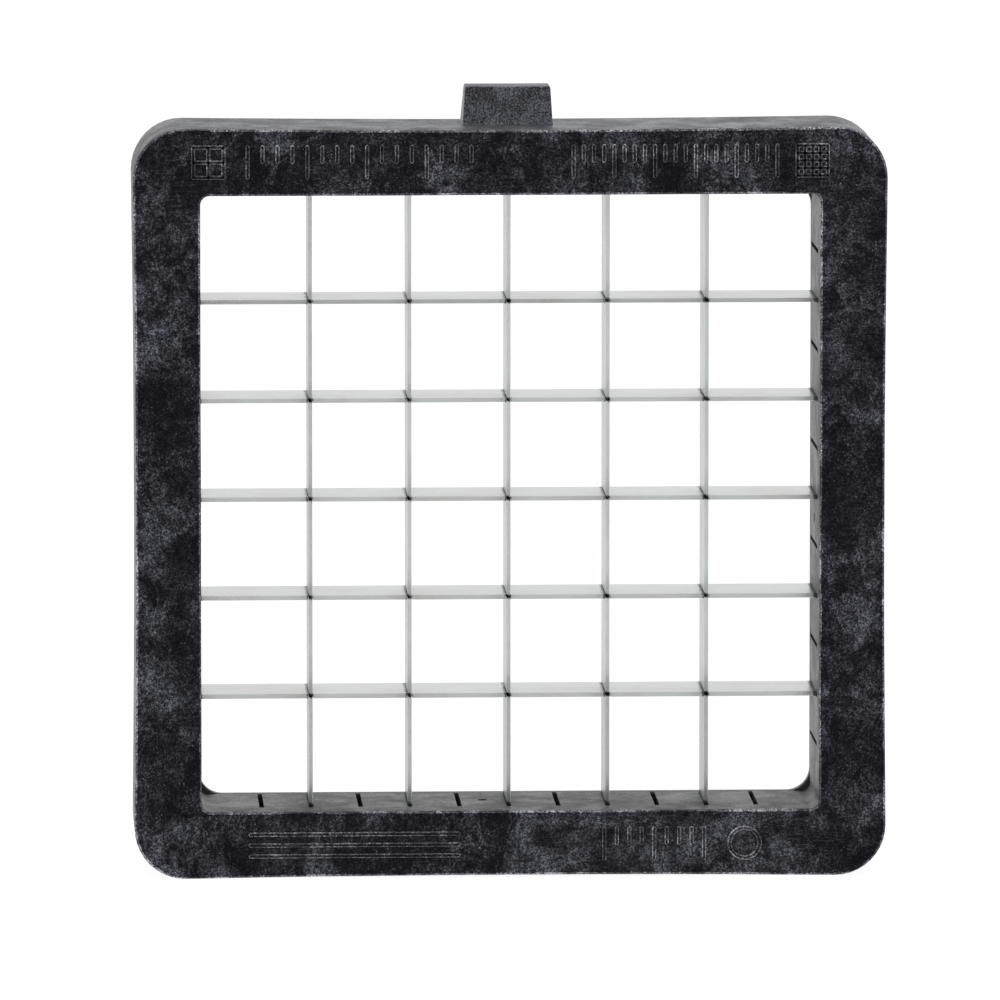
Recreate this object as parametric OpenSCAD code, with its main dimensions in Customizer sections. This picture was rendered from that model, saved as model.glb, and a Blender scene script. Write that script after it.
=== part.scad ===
// Blade cartridge for a commercial vegetable dicer: a moulded square frame
// that holds a removable egg-crate grid of ten steel blades for 12.7 mm cubes.
// X runs to the right, Y runs from the cutting side to the rear, Z is up.
// The origin is the middle of the bottom face, so the cartridge stands on z = 0.

/* [Frame] */
// Width and height of the square frame
frame_size = 96.3; // [93:0.1:100]
// Width and height of the food opening
opening_size = 79.1; // [76:0.1:80]
// Depth of the front moulding, without the rear retainer
frame_depth = 17.25; // [15:0.05:22]
// Radius of the frame's outer corners
outer_radius = 6.5; // [3:0.5:8]
// Radius of the food opening's corners
opening_radius = 1.2; // [0.6:0.1:3]
// Height of the raised marks above the front face
mark_height = 0.25; // [0.1:0.05:0.5]

/* [Blades] */
// Distance between neighbouring blades, which is the cube size
cube_pitch = 12.7; // [12:0.1:13.5]
// Thickness of each blade
blade_thickness = 0.45; // [0.4:0.05:0.6]
// Distance from the front face back to the cutting edges
blade_setback = 5.4; // [5:0.1:6.5]
// Length of the single ground bevel, measured across the blade
bevel_length = 1.2; // [0.6:0.1:2]
// Width that is left at the cutting edge
edge_flat = 0.06; // [0.04:0.01:0.1]

/* [Blade slots] */
// Side clearance of a blade in its slot, both sides together
slot_clearance = 0.15; // [0.05:0.05:0.2]
// Distance from the front face back to the slots
slot_setback = 4.4; // [3:0.1:4.8]
// How far each slot goes into the wall
slot_reach = 3.2; // [2:0.1:3.5]

/* [Rear retainer] */
// Thickness of the ring that closes the slots
retainer_thickness = 1.8; // [1.6:0.1:4]
// How much the ring's outline is smaller than the frame's, each side
retainer_inset = 0.1; // [0.1:0.1:1]
// How much the ring's opening is larger than the frame's, each side
retainer_relief = 0; // [0:0.1:0.6]
// Radius of the ring's inner corners
retainer_radius = 3.0; // [2:0.1:5]

/* [Locating lug] */
// Width of the lug at its top
lug_width = 10.9; // [8:0.1:16]
// Height of the lug above the frame
lug_height = 4.6; // [3:0.1:8]
// Distance from the front face back to the lug
lug_setback = 8.5; // [6:0.1:10]
// Depth of the lug at its top
lug_top_depth = 5.2; // [3:0.1:6]

/* [Screws] */
// Diameter of the countersunk heads
screw_head_d = 5.5; // [4.5:0.1:5.8]
// Diameter of the shanks
screw_shank_d = 2.4; // [2:0.1:2.6]
// Length of the screws, heads included
screw_length = 11; // [8:0.5:13]

/* [Hidden] */
$fn = 48;

over = 1;                       // how far a cutter runs past the surface it cuts
total_depth = frame_depth + retainer_thickness;
front_y = mark_height - (total_depth + mark_height) / 2;

blade_count = 5;
middle_blade = (blade_count + 1) / 2;
slot_width = blade_thickness + slot_clearance;
slot_pitch = cube_pitch / 2;    // the slots also take a grid of half the pitch
slots_each_side = 5;            // on either side of the middle slot
slot_span = opening_size + 2 * slot_reach;
blade_end_gap = 0.2;            // between a blade's end and its slot's end
blade_length = slot_span - 2 * blade_end_gap;
spine_gap = 0.05;               // between the blades' spines and the retainer
blade_width = frame_depth - blade_setback - spine_gap;
lap_width = blade_thickness + 0.15;
lap_overrun = 0.1;              // extra depth of each half lap

bar_middle = (frame_size + opening_size) / 4;

screw_head_depth = 1.5;
screw_point = 1.5;              // length of the pointed end
screw_tip_d = 0.6;
screw_bore_clearance = 0.1;
screw_place = 3.5 * slot_pitch; // midway between two slots
screw_row = bar_middle + 0.65;  // from the middle of the frame
recess_width = 0.65;
recess_length = 2.7;
recess_depth = 0.9;

lug_base_end = frame_depth - 0.25;
lug_side_draft = 0.3;           // each side, over the lug's height

dimple_d = 1.3;
dimple_depth = 0.2;
dimple_place = slot_pitch / 2;

mark_stroke = 0.55;
mark_size = 4.4;                // height of the marks on a bar
mark_root = 0.2;                // how far the marks go into the front face
square_mark_place = 38.5;       // from the middle of the frame to the squares
coarse_tick_pitch = 1.9;
medium_tick_pitch = 1.6;
fine_tick_pitch = 1.3;
rib_pitch = 1.4;
rib_length = 27;

plastic_colour = [0.17, 0.17, 0.19];
retainer_colour = [0.12, 0.12, 0.13];
blade_colour = [0.80, 0.81, 0.82];
screw_colour = [0.60, 0.61, 0.62];

// Puts a shape on the frame: X right, Y back from the front face and Z up,
// all from the middle of the front face.
module on_frame() {
    translate([0, front_y, frame_size / 2]) children();
}

// Extrudes a front view outline between two depths.
module between_depths(near, far) {
    translate([0, far, 0]) rotate([90, 0, 0]) linear_extrude(far - near) children();
}

// Repeats a shape for each of the four sides of the square frame.
module each_side() {
    for (turn = [0:3]) rotate([0, 90 * turn, 0]) children();
}

module rounded_square(size, radius) {
    square([size, size - 2 * radius], center = true);
    square([size - 2 * radius, size], center = true);
    for (sx = [-1, 1], sz = [-1, 1])
        translate([sx, sz] * (size / 2 - radius)) circle(radius);
}

// Slots for both blade pitches, open at the rear and in all four walls.
module slot_cuts() {
    slot_length = frame_depth - slot_setback + over;
    for (turn = [0, 90], i = [-slots_each_side:slots_each_side])
        rotate([0, turn, 0])
            translate([-slot_span / 2, slot_setback, i * slot_pitch - slot_width / 2])
                cube([slot_span, slot_length, slot_width]);
}

module lug() {
    root_half_width = lug_width / 2 + lug_side_draft * (1 + over / lug_height);
    lug_front_view = [
        [-root_half_width, -over], [root_half_width, -over],
        [lug_width / 2, lug_height], [-lug_width / 2, lug_height]
    ];
    lug_side_view = [
        [lug_setback, -over], [lug_base_end, -over], [lug_base_end, 0],
        [lug_setback + lug_top_depth, lug_height], [lug_setback, lug_height]
    ];
    translate([0, 0, frame_size / 2]) intersection() {
        between_depths(0, frame_depth) polygon(lug_front_view);
        translate([-lug_width, 0, 0]) rotate([90, 0, 90])
            linear_extrude(2 * lug_width) polygon(lug_side_view);
    }
}

// Blind holes on the screw row, two in each bar.
module screw_bores(diameter, depth) {
    each_side()
        for (side = [-1, 1])
            translate([side * screw_place, total_depth - depth, screw_row]) rotate([-90, 0, 0])
                cylinder(h = depth + over, d = diameter);
}

module ejector_dimples() {
    for (turn = [90, 180])
        rotate([0, turn, 0])
            translate([dimple_place, frame_depth * 0.6, opening_size / 2 - over])
                cylinder(h = over + dimple_depth, d = dimple_d);
}

// A raised stroke on the front face, given by its middle, width and height.
module stroke(x, z, width, height) {
    translate([x - width / 2, -mark_height, z - height / 2])
        cube([width, mark_height + mark_root, height]);
}

// A square with a number of cells each way, which stands for a cube size.
module grid_mark(x, z, cells) {
    for (i = [0:cells]) {
        line = (i / cells - 0.5) * (mark_size - mark_stroke);
        stroke(x + line, z, mark_stroke, mark_size);
        stroke(x, z + line, mark_size, mark_stroke);
    }
}

// A row of upright ticks, where every fourth one is full height.
module tick_row(x_from, x_to, z, pitch) {
    steps = floor((x_to - x_from) / pitch);
    for (i = [0:steps]) {
        height = i % 4 == 0 ? mark_size : mark_size * 0.55;
        stroke(x_from + i * pitch, z + (mark_size - height) / 2, mark_stroke, height);
    }
}

// Generic marks: cube-size squares and tick rows above, ribs and a ring below.
module raised_marks() {
    grid_mark(-square_mark_place, bar_middle, 2);
    tick_row(-33.5, -5, bar_middle, coarse_tick_pitch);
    grid_mark(square_mark_place, bar_middle, 4);
    tick_row(8, 34, bar_middle, fine_tick_pitch);
    for (z = [-rib_pitch, 0, rib_pitch])
        stroke(-20, z - bar_middle, rib_length, mark_stroke);
    tick_row(12, 25, -bar_middle, medium_tick_pitch);
    translate([30, 0, -bar_middle]) between_depths(-mark_height, mark_root) difference() {
        circle(d = mark_size);
        circle(d = mark_size - 2 * mark_stroke);
    }
}

module blade_frame() {
    color(plastic_colour) on_frame() {
        difference() {
            union() {
                between_depths(0, frame_depth) rounded_square(frame_size, outer_radius);
                lug();
            }
            between_depths(-over, frame_depth + over)
                rounded_square(opening_size, opening_radius);
            slot_cuts();
            screw_bores(screw_shank_d + screw_bore_clearance, screw_length + 0.5);
            ejector_dimples();
        }
        raised_marks();
    }
}

module rear_retainer() {
    color(retainer_colour) on_frame() difference() {
        between_depths(frame_depth, total_depth)
            rounded_square(frame_size - 2 * retainer_inset, outer_radius - retainer_inset);
        between_depths(frame_depth - over, total_depth + over)
            rounded_square(opening_size + 2 * retainer_relief, retainer_radius);
        screw_bores(screw_shank_d + screw_bore_clearance, retainer_thickness + over);
        each_side()
            for (side = [-1, 1])
                translate([side * screw_place, total_depth - screw_head_depth, screw_row])
                    rotate([-90, 0, 0])
                        cylinder(h = screw_head_depth, d1 = screw_shank_d, d2 = screw_head_d);
    }
}

// A blade along X with its edge at the front. The bevel is on its upper side.
module blade_blank() {
    half = blade_thickness / 2;
    section = [
        [0, -half], [blade_width, -half], [blade_width, half],
        [bevel_length, half], [0, -half + edge_flat]
    ];
    translate([-blade_length / 2, blade_setback, 0]) rotate([90, 0, 90])
        linear_extrude(blade_length) polygon(section);
}

// Half laps at the five crossings, from one depth to another.
module lap_cuts(near, far) {
    for (i = [1:blade_count])
        translate([(i - middle_blade) * cube_pitch - lap_width / 2, near, -over])
            cube([lap_width, far - near, 2 * over]);
}

// Horizontal blades are counted from the top and are slotted from their edge.
module horizontal_blade(number) {
    lap_end = blade_setback + blade_width / 2 + lap_overrun;
    color(blade_colour) on_frame()
        translate([0, 0, (middle_blade - number) * cube_pitch]) difference() {
            blade_blank();
            lap_cuts(blade_setback - over, lap_end);
        }
}

// Vertical blades are counted from the left and are slotted from their spine.
module vertical_blade(number) {
    lap_start = blade_setback + blade_width / 2 - lap_overrun;
    color(blade_colour) on_frame()
        translate([(number - middle_blade) * cube_pitch, 0, 0]) rotate([0, -90, 0]) difference() {
            blade_blank();
            lap_cuts(lap_start, blade_setback + blade_width + over);
        }
}

// Countersunk screws, two in each bar, with their heads in the retainer.
module retainer_screws() {
    color(screw_colour) on_frame() each_side()
        for (side = [-1, 1])
            translate([side * screw_place, total_depth, screw_row]) rotate([-90, 0, 0])
                countersunk_screw();
}

// One screw with its head's face at z = 0 and its point towards -Z.
module countersunk_screw() {
    difference() {
        union() {
            translate([0, 0, -screw_head_depth])
                cylinder(h = screw_head_depth, d1 = screw_shank_d, d2 = screw_head_d);
            translate([0, 0, screw_point - screw_length])
                cylinder(h = screw_length - screw_point - screw_head_depth, d = screw_shank_d);
            translate([0, 0, -screw_length])
                cylinder(h = screw_point, d1 = screw_tip_d, d2 = screw_shank_d);
        }
        for (turn = [0, 90])
            rotate([0, 0, turn]) translate([0, 0, over / 2 - recess_depth / 2])
                cube([recess_length, recess_width, recess_depth + over], center = true);
    }
}

blade_frame();
rear_retainer();
horizontal_blade(1);  // horizontal_blade_1
horizontal_blade(2);  // horizontal_blade_2
horizontal_blade(3);  // horizontal_blade_3
horizontal_blade(4);  // horizontal_blade_4
horizontal_blade(5);  // horizontal_blade_5
vertical_blade(1);  // vertical_blade_1
vertical_blade(2);  // vertical_blade_2
vertical_blade(3);  // vertical_blade_3
vertical_blade(4);  // vertical_blade_4
vertical_blade(5);  // vertical_blade_5
retainer_screws();
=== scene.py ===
"""Blade cartridge of a vegetable dicer: its looks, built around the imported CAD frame."""
import math

import bmesh
import bpy
from mathutils import Matrix, Vector, noise


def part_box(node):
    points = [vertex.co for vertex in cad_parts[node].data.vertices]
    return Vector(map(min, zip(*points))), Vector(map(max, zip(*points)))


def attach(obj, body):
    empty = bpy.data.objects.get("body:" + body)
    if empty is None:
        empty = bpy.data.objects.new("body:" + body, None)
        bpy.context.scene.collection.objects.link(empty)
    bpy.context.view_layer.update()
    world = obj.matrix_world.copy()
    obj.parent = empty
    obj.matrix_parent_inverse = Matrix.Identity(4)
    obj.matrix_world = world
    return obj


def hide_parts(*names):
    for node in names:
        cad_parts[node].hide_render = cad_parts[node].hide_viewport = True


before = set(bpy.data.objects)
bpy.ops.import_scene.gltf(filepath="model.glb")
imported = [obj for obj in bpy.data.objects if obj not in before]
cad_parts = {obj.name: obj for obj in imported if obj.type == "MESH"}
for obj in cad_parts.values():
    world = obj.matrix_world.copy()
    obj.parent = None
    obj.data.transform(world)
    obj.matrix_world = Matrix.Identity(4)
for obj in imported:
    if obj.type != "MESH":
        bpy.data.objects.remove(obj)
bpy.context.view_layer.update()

MM = 0.001
BODY = "root"
BLADES = 5
MIDDLE_BLADE = (BLADES + 1) / 2

# ---------------------------------------------------------------- sizes from the frame, in mm


def box_mm(node):
    """Lowest and highest corner of a CAD node, in millimetres."""
    low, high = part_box(node)
    return low / MM, high / MM


FRAME_LOW, FRAME_HIGH = box_mm("blade_frame")
RING_LOW, RING_HIGH = box_mm("rear_retainer")
BLADE_LOW, BLADE_HIGH = box_mm("horizontal_blade_3")
FIRST_BLADE = box_mm("horizontal_blade_1")
LAST_BLADE = box_mm("horizontal_blade_5")

MARK_HEIGHT = 0.25
SIZE = FRAME_HIGH.x - FRAME_LOW.x
HALF = SIZE / 2
MIDDLE_Z = FRAME_LOW.z + HALF
FRONT_Y = FRAME_LOW.y + MARK_HEIGHT
REAR_Y = FRAME_HIGH.y
LUG_HEIGHT = FRAME_HIGH.z - FRAME_LOW.z - SIZE
PITCH = (FIRST_BLADE[0].z - LAST_BLADE[0].z) / (BLADES - 1)
SLOT_PITCH = PITCH / 2
BLADE_THICKNESS = BLADE_HIGH.z - BLADE_LOW.z
BLADE_WIDTH = BLADE_HIGH.y - BLADE_LOW.y
BLADE_LENGTH = BLADE_HIGH.x - BLADE_LOW.x

OPENING_HALF = 39.55
OUTER_RADIUS = 6.5
OPENING_RADIUS = 1.2
RING_INSET = 0.1
RING_RADIUS = 3.0
EDGE_ROUND = 0.3
SINK = 0.28
SINK_REACH = 41.0
REAR_ROUND = 0.25
SLOT_WIDTH = 0.6
SLOT_SETBACK = 4.4
SLOT_REACH = 3.2
BAR_MIDDLE = (HALF + OPENING_HALF) / 2

# ---------------------------------------------------------------- mesh helpers


def make_object(name, bm, materials, smooth_angle=35.0):
    """Turns a mesh in millimetres into a smooth-shaded object in metres."""
    bmesh.ops.remove_doubles(bm, verts=bm.verts, dist=1e-5)
    bmesh.ops.recalc_face_normals(bm, faces=bm.faces)
    bmesh.ops.scale(bm, vec=(MM, MM, MM), verts=bm.verts)
    mesh = bpy.data.meshes.new(name)
    bm.to_mesh(mesh)
    bm.free()
    piece = bpy.data.objects.new(name, mesh)
    bpy.context.scene.collection.objects.link(piece)
    for material in materials:
        mesh.materials.append(material)
    smooth(mesh, smooth_angle)
    return piece


def smooth(mesh, angle):
    mesh.shade_smooth()
    mesh.set_sharp_from_angle(angle=math.radians(angle))


def apply_modifiers(piece, smooth_angle=35.0):
    """Replaces a piece's mesh by what its modifiers make of it."""
    graph = bpy.context.evaluated_depsgraph_get()
    mesh = bpy.data.meshes.new_from_object(piece.evaluated_get(graph))
    piece.modifiers.clear()
    piece.data = mesh
    smooth(mesh, smooth_angle)


def cut(piece, tool, operation="DIFFERENCE"):
    """Cuts a piece with a tool, or joins the tool to it, and deletes the tool."""
    modifier = piece.modifiers.new("cut", "BOOLEAN")
    modifier.operation = operation
    modifier.solver = "EXACT"
    modifier.object = tool
    apply_modifiers(piece)
    bpy.data.objects.remove(tool)


def bridge(bm, first, second):
    """Quads between two closed rows of the same number of vertices."""
    count = len(first)
    for i in range(count):
        j = (i + 1) % count
        bm.faces.new((first[i], first[j], second[j], second[i]))


def add_box(bm, low, high):
    corners = []
    for x in (low[0], high[0]):
        for y in (low[1], high[1]):
            corners += [bm.verts.new((x, y, z)) for z in (low[2], high[2])]
    for face in ((0, 1, 3, 2), (4, 6, 7, 5), (0, 4, 5, 1), (2, 3, 7, 6), (0, 2, 6, 4), (1, 5, 7, 3)):
        bm.faces.new([corners[i] for i in face])


def rounded_outline(half, radius, arc_steps=10, side_steps=26):
    """Points of a rounded square as (x, z), anticlockwise, with the same count for any size."""
    points = []
    straight = half - radius
    for corner in range(4):
        turn = corner * math.pi / 2
        c, s = round(math.cos(turn)), round(math.sin(turn))
        local = []
        for i in range(side_steps):
            local.append((half, -straight + 2 * straight * i / side_steps))
        for i in range(arc_steps):
            angle = math.pi / 2 * i / arc_steps
            local.append((straight + radius * math.cos(angle), straight + radius * math.sin(angle)))
        points += [(x * c - z * s, x * s + z * c) for x, z in local]
    return points


def round_over(half, radius, y, size, outward, forward, steps=5):
    """Rows of a rounded edge from a wall to a face, as (half size, corner radius, y)."""
    rows = []
    for i in range(steps + 1):
        angle = math.pi / 2 * i / steps
        inset = size * (1 - math.cos(angle)) * outward
        rows.append((half - inset, radius - inset, y + forward * size * (1 - math.sin(angle))))
    return rows


def unevenness(point, scale, amount):
    """A small smooth shift that keeps moulded faces from being perfectly flat."""
    return noise.noise(Vector(point) * scale) * amount


def sunk(x, z, half):
    """Pulls the outer sides in towards their middles, as the moulding has shrunk."""
    weight = max(0.0, (half - OPENING_HALF) / (HALF - OPENING_HALF))
    dip_x = SINK * weight * max(0.0, 1 - (z / SINK_REACH) ** 2)
    dip_z = SINK * weight * max(0.0, 1 - (x / SINK_REACH) ** 2)
    if abs(x) > abs(z):
        return x - math.copysign(dip_x, x), z
    return x, z - math.copysign(dip_z, z)


def ring(rows, wobble=0.0):
    """A closed square ring through rows of (half size, corner radius, y)."""
    bm = bmesh.new()
    loops = []
    for half, radius, y in rows:
        loop = []
        for x, z in rounded_outline(half, radius):
            shift = abs(unevenness((x, y * 3, z), 0.06, wobble))
            reach = math.hypot(x, z)
            x, z = sunk(x, z, half)
            loop.append(bm.verts.new((x - x / reach * shift, y + shift * 0.5, z - z / reach * shift)))
        loops.append(loop)
    for first, second in zip(loops, loops[1:] + loops[:1]):
        bridge(bm, first, second)
    bmesh.ops.translate(bm, vec=(0, 0, MIDDLE_Z), verts=bm.verts)
    return bm


# ---------------------------------------------------------------- material helpers


class Nodes:
    """Short names for building a material's node tree."""

    def __init__(self, name):
        self.material = bpy.data.materials.new(name)
        self.material.use_nodes = True
        self.tree = self.material.node_tree
        self.shader = self.tree.nodes["Principled BSDF"]
        self.place = self.add("ShaderNodeTexCoord").outputs["Object"]

    def add(self, kind, **settings):
        node = self.tree.nodes.new(kind)
        for key, value in settings.items():
            setattr(node, key, value)
        return node

    def link(self, source, target):
        self.tree.links.new(source, target)

    def stretched(self, scale, rotation=(0, 0, 0)):
        node = self.add("ShaderNodeMapping")
        node.inputs["Scale"].default_value = scale
        node.inputs["Rotation"].default_value = rotation
        self.link(self.place, node.inputs["Vector"])
        return node.outputs["Vector"]

    def noise(self, scale, detail=4.0, roughness=0.55, distortion=0.0, vector=None):
        node = self.add("ShaderNodeTexNoise")
        node.inputs["Scale"].default_value = scale
        node.inputs["Detail"].default_value = detail
        node.inputs["Roughness"].default_value = roughness
        node.inputs["Distortion"].default_value = distortion
        self.link(vector or self.place, node.inputs["Vector"])
        return node.outputs["Fac"]

    def spots(self, scale, vector=None):
        node = self.add("ShaderNodeTexVoronoi")
        node.inputs["Scale"].default_value = scale
        self.link(vector or self.place, node.inputs["Vector"])
        return node.outputs["Distance"]

    def span(self, value, low, high, to_low=0.0, to_high=1.0):
        node = self.add("ShaderNodeMapRange")
        node.interpolation_type = "SMOOTHSTEP"
        self.link(value, node.inputs["Value"])
        ends = {"From Min": low, "From Max": high, "To Min": to_low, "To Max": to_high}
        for name, number in ends.items():
            node.inputs[name].default_value = number
        return node.outputs["Result"]

    def math(self, operation, *values):
        node = self.add("ShaderNodeMath", operation=operation)
        for socket, value in zip(node.inputs, values):
            if isinstance(value, (int, float)):
                socket.default_value = value
            else:
                self.link(value, socket)
        return node.outputs["Value"]

    def gain(self, value, factor, offset):
        return self.math("MULTIPLY_ADD", value, factor, offset)

    def product(self, first, *others):
        for other in others:
            first = self.math("MULTIPLY", first, other)
        return first

    def axis(self, number):
        node = self.add("ShaderNodeSeparateXYZ")
        self.link(self.place, node.inputs[0])
        return node.outputs[number]

    def mix(self, factor, a, b):
        node = self.add("ShaderNodeMix", data_type="RGBA")
        sockets = (node.inputs[0], node.inputs[6], node.inputs[7])
        for socket, value in zip(sockets, (factor, a, b)):
            if isinstance(value, (int, float)):
                socket.default_value = value
            elif isinstance(value, tuple):
                socket.default_value = (*value, 1.0)
            else:
                self.link(value, socket)
        return node.outputs[2]

    def bump(self, height, distance, strength=1.0, normal=None):
        node = self.add("ShaderNodeBump")
        node.inputs["Strength"].default_value = strength
        node.inputs["Distance"].default_value = distance
        self.link(height, node.inputs["Height"])
        if normal:
            self.link(normal, node.inputs["Normal"])
        return node.outputs["Normal"]

    def wire(self, **sockets):
        """Links or sets the shader's sockets, named with underscores for spaces."""
        for name, value in sockets.items():
            socket = self.shader.inputs[name.replace("_", " ")]
            if isinstance(value, (int, float)):
                socket.default_value = value
            elif isinstance(value, tuple):
                socket.default_value = (*value, 1.0)
            else:
                self.link(value, socket)


def plastic_with_wear_and_sheen(name, dark, haze, amount, gloss, floor_haze=0.06, foot_sheen=None):
    """Black moulded plastic with cloudy wash residue, pale flecks and fine scratches; with a pale haze
    it paints a highlight, and foot_sheen adds a painted sheen that fades upwards.
    """
    n = Nodes(name)
    patches = n.span(n.noise(90, 3, 0.5, 0.5), 0.42, 0.60)
    clouds = n.span(n.noise(260, 6, 0.74, 0.5), 0.38, 0.66)
    slanted = n.stretched((1.0, 1.0, 0.55), (0, 0.6, 0))
    strands = n.span(n.noise(1300, 4, 0.75, 1.5, slanted), 0.40, 0.68)
    grain = n.span(n.noise(4300, 3, 0.75), 0.42, 0.68)
    area = n.math("ADD", n.product(clouds, n.gain(patches, 0.75, 0.25)), floor_haze)
    # foot_sheen paints a sheen: haze added at and below one height, fading out by a second height.
    if foot_sheen:
        area = n.math("ADD", area, n.span(n.axis(2), foot_sheen[0], foot_sheen[1], foot_sheen[2], 0.0))
    residue = n.product(area, n.gain(strands, 0.65, 0.35), n.gain(grain, 0.92, 0.08), amount)
    colour = n.mix(residue, dark, haze)
    flecks = n.span(n.spots(2700), 0.10, 0.24, 1.0, 0.0)
    flecks = n.product(flecks, n.span(n.noise(900, 2), 0.50, 0.60), n.gain(clouds, 0.8, 0.2), 0.60)
    colour = n.mix(flecks, colour, (0.36, 0.36, 0.40))
    scratches = 0.0
    for turn, scale in ((0.5, 210), (-0.9, 260), (1.35, 170)):
        streak = n.noise(scale, 2, 0.5, 0.15, n.stretched((1.0, 1.0, 14.0), (0, turn, 0)))
        thin = n.span(n.math("ABSOLUTE", n.math("SUBTRACT", streak, 0.5)), 0.0, 0.008, 1.0, 0.0)
        thin = n.product(thin, n.span(n.noise(55 + scale / 9, 2), 0.54, 0.62))
        scratches = n.math("ADD", thin, scratches)
    colour = n.mix(n.gain(scratches, 0.35, 0.0), colour, (0.16, 0.16, 0.19))
    normal = n.bump(n.noise(1700, 4, 0.7), 0.00006, 0.6)
    normal = n.bump(scratches, 0.00003, 0.5, normal)
    n.wire(Base_Color=colour, Normal=normal, Roughness=n.gain(strands, 0.16, 0.30))
    n.wire(Specular_IOR_Level=n.gain(residue, gloss, gloss))
    return n.material


def hazed_wall(name, gloss):
    """The same plastic seen at a glancing angle: grey, with blurred stains and fine grain."""
    n = Nodes(name)
    stains = n.span(n.noise(160, 6, 0.72, 0.3), 0.36, 0.66)
    streaks = n.span(n.noise(520, 4, 0.7, 0.5, n.stretched((1.0, 0.35, 1.0))), 0.36, 0.66)
    grain = n.span(n.noise(3000, 3, 0.8), 0.40, 0.66)
    film = n.math("ADD", n.product(stains, n.gain(grain, 0.8, 0.2), 0.9), n.product(streaks, grain, 0.6))
    colour = n.mix(film, (0.006, 0.007, 0.009), (0.120, 0.125, 0.135))
    normal = n.bump(n.noise(1400, 4, 0.7), 0.00006, 0.5)
    n.wire(Base_Color=colour, Normal=normal, Roughness=n.gain(stains, -0.10, 0.47))
    n.wire(Specular_IOR_Level=n.gain(film, 0.25, gloss))
    return n.material


def brushed_steel(name, along, tone, rough, lines=0.5, across=None, metal=1.0):
    """Satin steel with grinding lines along one axis: 0 is X, 1 is Y and 2 is Z.

    Blades also have painted shade where others cross them, at each blade pitch along an axis, and where
    they go into the frame's slots."""
    n = Nodes(name)
    fine = [1.0, 1.0, 1.0]
    fine[along] = 0.03
    streaks = n.noise(5200, 3, 0.6, 0, n.stretched(tuple(fine)))
    bands = n.noise(900, 3, 0.55, 0, n.stretched(tuple(fine)))
    smudge = n.span(n.noise(120, 4, 0.6, 0.4), 0.40, 0.66)
    tint = n.span(n.math("ADD", n.product(streaks, 0.6), n.product(bands, 0.4)), 0.3, 0.7)
    colour = n.mix(tint, tuple(c * 0.88 for c in tone), tone)
    smudged = tuple(c * f for c, f in zip(tone, (0.84, 0.80, 0.78)))
    colour = n.mix(n.product(smudge, 0.75), colour, smudged)
    pits = n.product(n.span(n.spots(1300), 0.04, 0.13, 1.0, 0.0), n.span(n.noise(420, 2), 0.58, 0.66))
    colour = n.mix(n.product(pits, 0.8), colour, (0.10, 0.09, 0.08))
    # Painted shade: the upright blades get darker towards their lower ends, more so towards the right.
    if across == 2:
        lower_shade = n.span(n.axis(2), 0.0225, 0.0275, 1.0, 0.0)
        shade_to_right = n.span(n.axis(0), -0.020, -0.002, 0.35, 1.0)
        colour = n.mix(n.product(lower_shade, shade_to_right, 0.9), colour, tuple(c * 0.66 for c in tone))
    # Painted shade: dark bands where the blades cross each other and where they go into the frame's
    # slots.
    if across is not None:
        from_middle = n.math("SUBTRACT", n.axis(across), CROSSING_OFFSET[across] * MM)
        from_crossing = n.math("PINGPONG", from_middle, PITCH / 2 * MM)
        ragged = n.gain(n.noise(1600, 3, 0.6), 0.0006, -0.0003)
        reach = 0.00036 if across == 0 else 0.00024
        crossing_shade = n.span(n.math("ADD", from_crossing, ragged), reach, reach + 0.00014, 1.0, 0.0)
        crossed = n.math("LESS_THAN", n.math("ABSOLUTE", from_middle), PITCH * 2.5 * MM)
        crossing_shade = n.product(crossing_shade, crossed, n.span(n.noise(700, 2), 0.35, 0.55, 0.35, 0.95))
        wall = OPENING_HALF * MM
        in_slot = n.span(n.math("ABSOLUTE", from_middle), wall - 0.00040, wall - 0.00022, 0.0, 0.9)
        crossing_shade = n.math("MAXIMUM", crossing_shade, in_slot)
        colour = n.mix(crossing_shade, colour, (0.02, 0.018, 0.016))
    normal = n.bump(streaks, 0.00001, lines)
    n.wire(Base_Color=colour, Metallic=metal, Normal=normal, Roughness=n.gain(tint, 0.10, rough))
    n.wire(Specular_IOR_Level=0.1)
    return n.material


PLASTIC_DARK = (0.0012, 0.0012, 0.0026)
PLASTIC_HAZE = (0.120, 0.121, 0.150)
LUG_BASE_Z = (FRAME_LOW.z + SIZE) * MM
FRAME_PLASTIC = plastic_with_wear_and_sheen("frame_plastic", PLASTIC_DARK, PLASTIC_HAZE, 2.3, 0.05)
LUG_HAZE = (0.125, 0.128, 0.155)
# Painted sheen: the lug's haze is lifted at its foot and fades out 5 mm up, standing for light on its
# curved root.
LUG_FOOT_SHEEN = (LUG_BASE_Z, LUG_BASE_Z + 0.005, 0.6)
LUG_PLASTIC = plastic_with_wear_and_sheen("lug_plastic", PLASTIC_DARK, LUG_HAZE, 2.9, 0.12, 0.30, LUG_FOOT_SHEEN)
# Painted highlight on the rounded front edges, broken up by noise like scuffed wear.
EDGE_WEAR_AND_HIGHLIGHT = plastic_with_wear_and_sheen("edge_wear_and_painted_highlight", (0.008, 0.008, 0.012), (0.42, 0.42, 0.45), 4.0, 0.10, 0.10)
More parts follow.
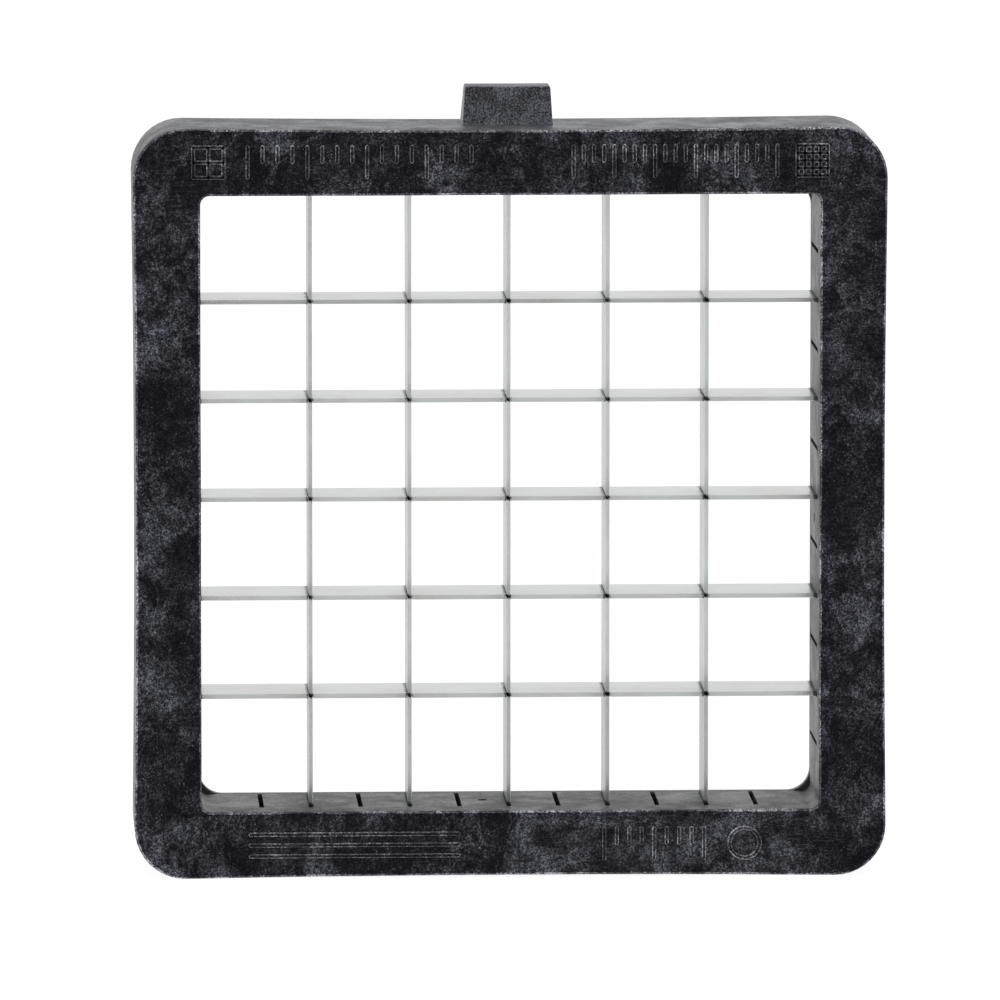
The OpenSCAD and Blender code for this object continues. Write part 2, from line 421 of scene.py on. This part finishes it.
# Painted highlight on the sides of the raised marks, broken up by noise like scuffed wear.
MARK_EDGE_WEAR_AND_HIGHLIGHT = plastic_with_wear_and_sheen("mark_edge_wear_and_painted_highlight", (0.012, 0.012, 0.016), (0.42, 0.42, 0.46), 3.4, 0.15, 0.16)
WALL_PLASTIC = hazed_wall("wall_plastic", 0.20)
RETAINER_DARK = (0.006, 0.006, 0.008)
RETAINER_HAZE = (0.070, 0.071, 0.080)
RETAINER_PLASTIC = plastic_with_wear_and_sheen("retainer_plastic", RETAINER_DARK, RETAINER_HAZE, 1.0, 0.25)
CROSSING_OFFSET = {0: -0.10, 2: MIDDLE_Z + 0.05}
STEEL_TONE = (0.60, 0.62, 0.62)
# Painted shade: the upright blades are the same steel as the crosswise ones, given a darker tone.
UPRIGHT_SHADED_TONE = (0.57, 0.60, 0.605)
BEVEL_TONE = (0.64, 0.66, 0.66)
STEEL_ALONG_X = brushed_steel("blade_steel_along_x", 0, STEEL_TONE, 0.24, across=0)
STEEL_ALONG_Z = brushed_steel("blade_steel_along_z", 2, UPRIGHT_SHADED_TONE, 0.24, across=2, metal=0.45)
BEVEL_ALONG_X = brushed_steel("bevel_steel_along_x", 1, BEVEL_TONE, 0.30, 0.8, 0)
BEVEL_ALONG_Z = brushed_steel("bevel_steel_along_z", 1, BEVEL_TONE, 0.30, 0.8, 2)
SCREW_STEEL = brushed_steel("screw_steel", 0, (0.56, 0.57, 0.58), 0.30)

# ---------------------------------------------------------------- front moulding


def moulding_rows():
    """Rows round the moulding's section, from its outer rear edge forward and back inside."""
    rows = [(HALF - REAR_ROUND, OUTER_RADIUS - REAR_ROUND, REAR_Y)]
    rows.append((HALF, OUTER_RADIUS, REAR_Y - REAR_ROUND))
    side_steps = 4
    for i in range(1, side_steps):
        depth = REAR_Y - REAR_ROUND + (FRONT_Y + EDGE_ROUND - REAR_Y + REAR_ROUND) * i / side_steps
        rows.append((HALF, OUTER_RADIUS, depth))
    rows += round_over(HALF, OUTER_RADIUS, FRONT_Y, EDGE_ROUND, 1, 1)
    face_steps = 6
    outer_end, inner_end = HALF - EDGE_ROUND, OPENING_HALF + EDGE_ROUND
    for i in range(1, face_steps):
        t = i / face_steps
        radius = (OUTER_RADIUS - EDGE_ROUND) * (1 - t) + (OPENING_RADIUS + EDGE_ROUND) * t
        rows.append((outer_end + (inner_end - outer_end) * t, radius, FRONT_Y))
    rows += list(reversed(round_over(OPENING_HALF, OPENING_RADIUS, FRONT_Y, EDGE_ROUND, -1, 1)))
    for i in range(1, side_steps + 1):
        depth = FRONT_Y + EDGE_ROUND + (REAR_Y - FRONT_Y - EDGE_ROUND) * i / side_steps
        rows.append((OPENING_HALF, OPENING_RADIUS, depth))
    return rows


def slot_tool():
    """Boxes for the blade slots of all four walls, open at the rear."""
    bm = bmesh.new()
    near, far = OPENING_HALF - 1.0, OPENING_HALF + SLOT_REACH
    front, back = FRONT_Y + SLOT_SETBACK, REAR_Y + 1.0
    for i in range(-BLADES, BLADES + 1):
        low, high = i * SLOT_PITCH - SLOT_WIDTH / 2, i * SLOT_PITCH + SLOT_WIDTH / 2
        for side in (-1, 1):
            a, b = sorted((side * near, side * far))
            add_box(bm, (low, front, MIDDLE_Z + a), (high, back, MIDDLE_Z + b))
            add_box(bm, (a, front, MIDDLE_Z + low), (b, back, MIDDLE_Z + high))
    return make_object("slot_tool", bm, [])


LUG_TOP_HALF = 5.45
LUG_ROOT_HALF = 5.75
LUG_SETBACK = 8.5
LUG_ROOT_BACK = 16.9
LUG_TOP_BACK = 13.7


def add_lug(bm):
    """The locating lug, as rounded rectangles stacked from its flared root to its top."""
    front = FRONT_Y + LUG_SETBACK
    back_root = FRONT_Y + LUG_ROOT_BACK
    back_top = FRONT_Y + LUG_TOP_BACK
    corner = 0.16
    base = FRAME_LOW.z + SIZE
    profile = [(-0.8, 0.10), (-SINK, 0.10), (-SINK + 0.06, 0.04), (-SINK + 0.18, 0.0)]
    profile += [(-SINK + 0.18 + (LUG_HEIGHT + SINK - 0.4) * i / 5, 0.0) for i in range(1, 6)]
    profile += [(LUG_HEIGHT - 0.10, -0.03), (LUG_HEIGHT - 0.03, -0.09), (LUG_HEIGHT, -0.17)]
    loops = []
    for height, flare in profile:
        t = max(0.0, min(1.0, height / LUG_HEIGHT))
        half = LUG_ROOT_HALF + (LUG_TOP_HALF - LUG_ROOT_HALF) * t + flare
        y_front = front - flare
        y_back = back_root + (back_top - back_root) * t + flare
        loop = []
        for sx, y, start in ((1, y_front, -90), (1, y_back, 0), (-1, y_back, 90), (-1, y_front, 180)):
            middle_x = sx * (half - corner)
            middle_y = y + (corner if y == y_front else -corner)
            for step in range(5):
                angle = math.radians(start + 22.5 * step)
                x = middle_x + corner * math.cos(angle)
                y_corner = middle_y + corner * math.sin(angle)
                loop.append(bm.verts.new((x, y_corner, base + height)))
        loops.append(loop)
    for first, second in zip(loops, loops[1:]):
        bridge(bm, first, second)
    bm.faces.new(loops[-1])
    bm.faces.new(list(reversed(loops[0])))


def add_ridge(bm, start, end, width, height=MARK_HEIGHT):
    """A raised stroke with a rounded top and ends between two points of the front face."""
    a, b = Vector((start[0], 0, start[1])), Vector((end[0], 0, end[1]))
    along = (b - a).normalized()
    side = Vector((-along.z, 0, along.x))
    loops = []
    for reach, lift in ((1.0, -0.15), (1.0, 0.45), (0.86, 0.80), (0.55, 1.0)):
        loop = []
        r = width / 2 * reach
        for middle, first_turn in ((b, -90), (a, 90)):
            for step in range(7):
                angle = math.radians(first_turn + 30 * step)
                place = middle + along * r * math.cos(angle) + side * r * math.sin(angle)
                loop.append(bm.verts.new((place.x, FRONT_Y - height * lift, MIDDLE_Z + place.z)))
        loops.append(loop)
    for first, second in zip(loops, loops[1:]):
        bridge(bm, first, second)
    bm.faces.new(loops[-1])


MARK_SIZE = 4.4
MARK_STROKE = 0.55
SQUARE_MARK_PLACE = 38.5
COARSE_TICK_PITCH = 1.9
MEDIUM_TICK_PITCH = 1.6
FINE_TICK_PITCH = 1.3
RIB_PITCH = 1.4


def add_grid_mark(bm, x, z, cells):
    """A square with a number of cells each way, which stands for a cube size."""
    half = (MARK_SIZE - MARK_STROKE) / 2
    for i in range(cells + 1):
        line = (i / cells * 2 - 1) * half
        add_ridge(bm, (x + line, z - half), (x + line, z + half), MARK_STROKE)
        add_ridge(bm, (x - half, z + line), (x + half, z + line), MARK_STROKE)


def add_tick_row(bm, x_from, x_to, z, pitch):
    """Upright ticks, where every fourth one is full height."""
    for i in range(int((x_to - x_from) / pitch) + 1):
        height = MARK_SIZE if i % 4 == 0 else MARK_SIZE * 0.55
        top = z + MARK_SIZE / 2 - MARK_STROKE / 2
        x = x_from + i * pitch
        add_ridge(bm, (x, top - height + MARK_STROKE), (x, top), MARK_STROKE)


def add_ring_mark(bm, x, z):
    radius = (MARK_SIZE - MARK_STROKE) / 2
    steps = 40
    section = ((-1.0, -0.15), (-1.0, 0.45), (-0.55, 1.0), (0.55, 1.0), (1.0, 0.45), (1.0, -0.15))
    rows = []
    for reach, lift in section:
        r = radius + MARK_STROKE / 2 * reach
        row = []
        for i in range(steps):
            angle = 2 * math.pi * i / steps
            place_x = x + r * math.cos(angle)
            place_z = MIDDLE_Z + z + r * math.sin(angle)
            row.append(bm.verts.new((place_x, FRONT_Y - MARK_HEIGHT * lift, place_z)))
        rows.append(row)
    for first, second in zip(rows, rows[1:]):
        bridge(bm, first, second)


def raised_marks():
    """The same generic marks as the CAD model's, with rounded strokes."""
    bm = bmesh.new()
    add_grid_mark(bm, -SQUARE_MARK_PLACE, BAR_MIDDLE, 2)
    add_tick_row(bm, -33.5, -5, BAR_MIDDLE, COARSE_TICK_PITCH)
    add_grid_mark(bm, SQUARE_MARK_PLACE, BAR_MIDDLE, 4)
    add_tick_row(bm, 8, 34, BAR_MIDDLE, FINE_TICK_PITCH)
    for z in (-RIB_PITCH, 0, RIB_PITCH):
        add_ridge(bm, (-33.3, z - BAR_MIDDLE), (-6.7, z - BAR_MIDDLE), MARK_STROKE)
    add_tick_row(bm, 12, 25, -BAR_MIDDLE, MEDIUM_TICK_PITCH)
    add_ring_mark(bm, 30, -BAR_MIDDLE)
    return bm


def dimple_tool():
    """Pins for the two shallow ejector marks, in the bottom and the right wall."""
    bm = bmesh.new()
    radius, reach, depth = 0.65, 1.0, 0.2
    y = FRONT_Y + (REAR_Y - FRONT_Y) * 0.6
    for turn in (0, 1):
        rows = []
        for height in (OPENING_HALF - reach, OPENING_HALF + depth):
            row = []
            for step in range(24):
                angle = 2 * math.pi * step / 24
                across = -SLOT_PITCH / 2 + radius * math.cos(angle)
                place = (height, across) if turn else (across, -height)
                row.append(bm.verts.new((place[0], y + radius * math.sin(angle), MIDDLE_Z + place[1])))
            rows.append(row)
        bridge(bm, rows[0], rows[1])
        bm.faces.new(rows[0])
        bm.faces.new(list(reversed(rows[1])))
    return make_object("dimple_tool", bm, [])


FRONT_SLOT = 0
LUG_SLOT = 1
EDGE_WEAR_HIGHLIGHT_SLOT = 2
WALL_SLOT = 3
MARK_SLOT = 4


def share_out_plastic(mesh):
    """Gives the rounded front edges the painted highlight with wear and the walls the hazed one."""
    for face in mesh.polygons:
        depth = face.center.y / MM - FRONT_Y
        if face.material_index != FRONT_SLOT:
            continue
        if 0.01 < depth < EDGE_ROUND and 0.1 < -face.normal.y < 0.995:
            face.material_index = EDGE_WEAR_HIGHLIGHT_SLOT
        elif abs(face.normal.y) < 0.3:
            face.material_index = WALL_SLOT


def front_moulding():
    materials = [None] * 5
    materials[FRONT_SLOT] = FRAME_PLASTIC
    materials[LUG_SLOT] = LUG_PLASTIC
    materials[EDGE_WEAR_HIGHLIGHT_SLOT] = EDGE_WEAR_AND_HIGHLIGHT
    materials[WALL_SLOT] = WALL_PLASTIC
    materials[MARK_SLOT] = MARK_EDGE_WEAR_AND_HIGHLIGHT
    piece = make_object("front_moulding", ring(moulding_rows(), 0.05), materials)
    cut(piece, slot_tool())
    cut(piece, dimple_tool())
    lug = bmesh.new()
    add_lug(lug)
    for face in lug.faces:
        face.material_index = LUG_SLOT
    cut(piece, make_object("lug_tool", lug, materials), "UNION")
    share_out_plastic(piece.data)
    bm = bmesh.new()
    bm.from_mesh(piece.data)
    marks = raised_marks()
    bmesh.ops.recalc_face_normals(marks, faces=marks.faces)
    # The strokes' sides get the painted highlight with wear; their tops keep the front plastic.
    for face in marks.faces:
        face.material_index = FRONT_SLOT if face.normal.y < -0.9 else MARK_SLOT
    bmesh.ops.scale(marks, vec=(MM, MM, MM), verts=marks.verts)
    extra = bpy.data.meshes.new("marks")
    marks.to_mesh(extra)
    marks.free()
    bm.from_mesh(extra)
    bm.to_mesh(piece.data)
    bm.free()
    smooth(piece.data, 35.0)
    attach(piece, BODY)
    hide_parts("blade_frame")


# ---------------------------------------------------------------- blades


def blade_mesh(lap_from_edge):
    """A blade along X with its cutting edge at the front and its bevel on the upper side.

    The blade is a grid of cells; the cells of the five half laps are left out."""
    half = BLADE_THICKNESS / 2
    edge_flat, bevel = 0.06, 1.2
    lap_half, lap_overrun = (BLADE_THICKNESS + 0.15) / 2, 0.1
    middle = BLADE_WIDTH / 2 + (lap_overrun if lap_from_edge else -lap_overrun)
    sides = ((0, -1), (1, 0), (0, 1), (-1, 0))
    rows = sorted({0.0, bevel * 0.5, bevel, bevel + 1.5, middle, middle + 2.4, BLADE_WIDTH})
    stops = {-BLADE_LENGTH / 2, BLADE_LENGTH / 2}
    crossings = [(i - MIDDLE_BLADE) * PITCH for i in range(1, BLADES + 1)]
    for x in crossings:
        stops |= {x - lap_half, x + lap_half}
    edges = sorted(stops)
    columns = []
    for a, b in zip(edges, edges[1:]):
        steps = max(1, round((b - a) / 2.0))
        columns += [a + (b - a) * i / steps for i in range(steps)]
    columns.append(edges[-1])

    def kept(i, j):
        x = (columns[i] + columns[i + 1]) / 2
        w = (rows[j] + rows[j + 1]) / 2
        in_lap = any(abs(x - c) < lap_half for c in crossings)
        return not (in_lap and (w < middle) == lap_from_edge)

    bm = bmesh.new()
    made = {}

    def vertex(i, j, upper):
        key = (i, j, upper)
        if key not in made:
            w = rows[j]
            z = -half
            if upper:
                z = half if w >= bevel else -half + edge_flat + (2 * half - edge_flat) * w / bevel
            made[key] = bm.verts.new((columns[i], BLADE_LOW.y + w, z))
        return made[key]

    for i in range(len(columns) - 1):
        for j in range(len(rows) - 1):
            if not kept(i, j):
                continue
            around = ((i, j), (i + 1, j), (i + 1, j + 1), (i, j + 1))
            face = bm.faces.new([vertex(*p, True) for p in around])
            face.material_index = 1 if rows[j + 1] <= bevel else 0
            bm.faces.new([vertex(*p, False) for p in reversed(around)])
            ends = zip(around, around[1:] + around[:1])
            for (p, q), (di, dj) in zip(ends, sides):
                ni, nj = i + di, j + dj
                inside = 0 <= ni < len(columns) - 1 and 0 <= nj < len(rows) - 1
                if inside and kept(ni, nj):
                    continue
                bm.faces.new((vertex(*p, False), vertex(*q, False), vertex(*q, True), vertex(*p, True)))
    return bm


def blades():
    """Horizontal blades are counted from the top and vertical ones from the left."""
    for number in range(1, BLADES + 1):
        offset = (MIDDLE_BLADE - number) * PITCH
        bm = blade_mesh(True)
        bmesh.ops.translate(bm, vec=(0, 0, MIDDLE_Z + offset), verts=bm.verts)
        finish_blade(f"horizontal_blade_{number}", bm, [STEEL_ALONG_X, BEVEL_ALONG_X])
        bm = blade_mesh(False)
        bmesh.ops.rotate(bm, matrix=Matrix.Rotation(-math.pi / 2, 3, "Y"), verts=bm.verts)
        bmesh.ops.translate(bm, vec=(-offset, 0, MIDDLE_Z), verts=bm.verts)
        finish_blade(f"vertical_blade_{number}", bm, [STEEL_ALONG_Z, BEVEL_ALONG_Z])


def finish_blade(node, bm, materials):
    piece = make_object(node + "_ground", bm, materials, 12.0)
    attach(piece, BODY)
    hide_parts(node)


# ---------------------------------------------------------------- retainer and screws


SCREW_PLACE = 3.5 * SLOT_PITCH
SCREW_ROW = BAR_MIDDLE + 0.65
SCREW_HEAD_R = 2.75
SCREW_SHANK_R = 1.2
SCREW_HEAD_DEPTH = 1.5
SCREW_LENGTH = 11.0
SCREW_POINT = 1.5
SCREW_TIP_R = 0.3


def screw_places():
    for turn in range(4):
        for side in (-1, 1):
            place = Vector((side * SCREW_PLACE, RING_HIGH.y, SCREW_ROW))
            place.rotate(Matrix.Rotation(turn * math.pi / 2, 3, "Y"))
            yield place + Vector((0, 0, MIDDLE_Z))


def lathe(bm, centre, profile, steps=32):
    """A closed turned shape about Y from (radius, distance back) pairs."""
    loops = []
    for radius, back in profile:
        loop = []
        for i in range(steps):
            angle = 2 * math.pi * i / steps
            reach = Vector((radius * math.cos(angle), -back, radius * math.sin(angle)))
            loop.append(bm.verts.new(centre + reach))
        loops.append(loop)
    for first, second in zip(loops, loops[1:]):
        bridge(bm, first, second)
    bm.faces.new(loops[0])
    bm.faces.new(list(reversed(loops[-1])))


def towards_rear(rows):
    """Turns the rows of a rounded front edge round to the ring's rear face."""
    return [(half, radius, 2 * RING_HIGH.y - y) for half, radius, y in rows]


def retainer():
    outer_half = RING_HIGH.x
    outer_radius = OUTER_RADIUS - RING_INSET
    soft = 0.3
    front_soft = 0.4
    rows = [(outer_half, outer_radius, RING_LOW.y)]
    rows += towards_rear(round_over(outer_half, outer_radius, RING_HIGH.y, soft, 1, 1))
    for i in range(1, 4):
        t = i / 4
        rows.append((
            outer_half - soft + (OPENING_HALF - outer_half + 2 * soft) * t,
            (outer_radius - soft) * (1 - t) + (RING_RADIUS + soft) * t,
            RING_HIGH.y,
        ))
    inner = towards_rear(round_over(OPENING_HALF, RING_RADIUS, RING_HIGH.y, soft, -1, 1))
    rows += list(reversed(inner))
    rows += round_over(OPENING_HALF, RING_RADIUS, RING_LOW.y, front_soft, -1, 1)
    piece = make_object("retainer_ring", ring(rows), [RETAINER_PLASTIC])
    seats = bmesh.new()
    for centre in screw_places():
        lathe(seats, centre, [(SCREW_HEAD_R + 0.30, -0.2), (SCREW_HEAD_R + 0.08, 0.0),
                              (SCREW_SHANK_R + 0.08, SCREW_HEAD_DEPTH), (SCREW_SHANK_R + 0.08, 3.0)])
    cut(piece, make_object("seat_tool", seats, []))
    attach(piece, BODY)
    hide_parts("rear_retainer")


def cross_recess_tool():
    """Tapered crosses for the screw heads."""
    bm = bmesh.new()
    for number, centre in enumerate(screw_places()):
        for arm in range(2):
            part = bmesh.new()
            add_box(part, (-1.35, -1.1, -0.33), (1.35, 0.3, 0.33))
            for vert in part.verts:
                if vert.co.y < 0:
                    vert.co.x *= 0.35
                    vert.co.z *= 0.7
            turn = math.radians(17 + number * 53 + arm * 90)
            bmesh.ops.rotate(part, matrix=Matrix.Rotation(turn, 3, "Y"), verts=part.verts)
            bmesh.ops.translate(part, vec=centre, verts=part.verts)
            mesh = bpy.data.meshes.new("arm")
            part.to_mesh(mesh)
            part.free()
            bm.from_mesh(mesh)
    return bm


def screws():
    bm = bmesh.new()
    rim = 0.12
    for centre in screw_places():
        lathe(bm, centre, [
            (SCREW_HEAD_R * 0.4, 0.0), (SCREW_HEAD_R * 0.8, 0.015), (SCREW_HEAD_R - rim, 0.05),
            (SCREW_HEAD_R, rim), (SCREW_HEAD_R, rim + 0.1), (SCREW_SHANK_R, SCREW_HEAD_DEPTH),
            (SCREW_SHANK_R, SCREW_LENGTH - SCREW_POINT), (SCREW_TIP_R, SCREW_LENGTH),
        ])
    piece = make_object("countersunk_screws", bm, [SCREW_STEEL])
    modifier = piece.modifiers.new("recess", "BOOLEAN")
    modifier.operation = "DIFFERENCE"
    modifier.solver = "EXACT"
    modifier.use_self = True
    tool = make_object("recess_tool", cross_recess_tool(), [])
    modifier.object = tool
    apply_modifiers(piece)
    bpy.data.objects.remove(tool)
    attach(piece, BODY)
    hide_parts("retainer_screws")


# ---------------------------------------------------------------- floor, light and camera


def floor():
    bm = bmesh.new()
    reach = 30.0 / MM
    add_box(bm, (-reach, -reach, -20.0), (reach, reach, 0.0))
    n = Nodes("pale_floor")
    n.wire(Base_Color=(0.12, 0.12, 0.12), Roughness=0.9, Specular_IOR_Level=0.0)
    n.wire(Emission_Color=(1.0, 1.0, 1.0), Emission_Strength=0.93)
    make_object("floor", bm, [n.material])


def area_light(name, place, target, size, power, colour=(1, 1, 1)):
    light = bpy.data.lights.new(name, "AREA")
    light.shape = "RECTANGLE"
    light.size, light.size_y = size
    light.energy = power
    light.color = colour
    lamp = bpy.data.objects.new(name, light)
    lamp.location = place
    lamp.rotation_euler = (Vector(target) - Vector(place)).to_track_quat("-Z", "Y").to_euler()
    bpy.context.scene.collection.objects.link(lamp)


def lights():
    world = bpy.data.worlds.new("studio")
    world.use_nodes = True
    background = world.node_tree.nodes["Background"]
    background.inputs["Color"].default_value = (1.0, 1.0, 1.0, 1.0)
    background.inputs["Strength"].default_value = 1.0
    bpy.context.scene.world = world
    middle = (0, 0, MIDDLE_Z * MM)
    area_light("overhead_softbox", (0.0, 0.3, 2.2), middle, (2.4, 2.4), 22)
    area_light("left_softbox", (-1.6, -1.0, 1.1), middle, (1.0, 1.4), 5)


def camera():
    """A long lens from slightly above and to the left, aimed just off the frame's middle."""
    distance = 1.596
    elevation = math.radians(6.45)
    azimuth = math.radians(-2.5)
    shift_right = -1.37 * MM
    shift_up = 0.48 * MM
    data = bpy.data.cameras.new("camera")
    data.sensor_width = 36.0
    data.lens = 450.0
    data.clip_start = 0.1
    data.clip_end = 100.0
    eye = bpy.data.objects.new("camera", data)
    turn = Matrix.Rotation(azimuth, 3, "Z") @ Matrix.Rotation(math.pi / 2 - elevation, 3, "X")
    front_middle = Vector((0, FRONT_Y, MIDDLE_Z)) * MM
    eye.location = front_middle + turn @ Vector((shift_right, shift_up, distance))
    eye.rotation_euler = turn.to_euler()
    bpy.context.scene.collection.objects.link(eye)
    bpy.context.scene.camera = eye


camera()
floor()
lights()
front_moulding()
blades()
retainer()
screws()
bpy.context.scene.view_settings.view_transform = "Standard"
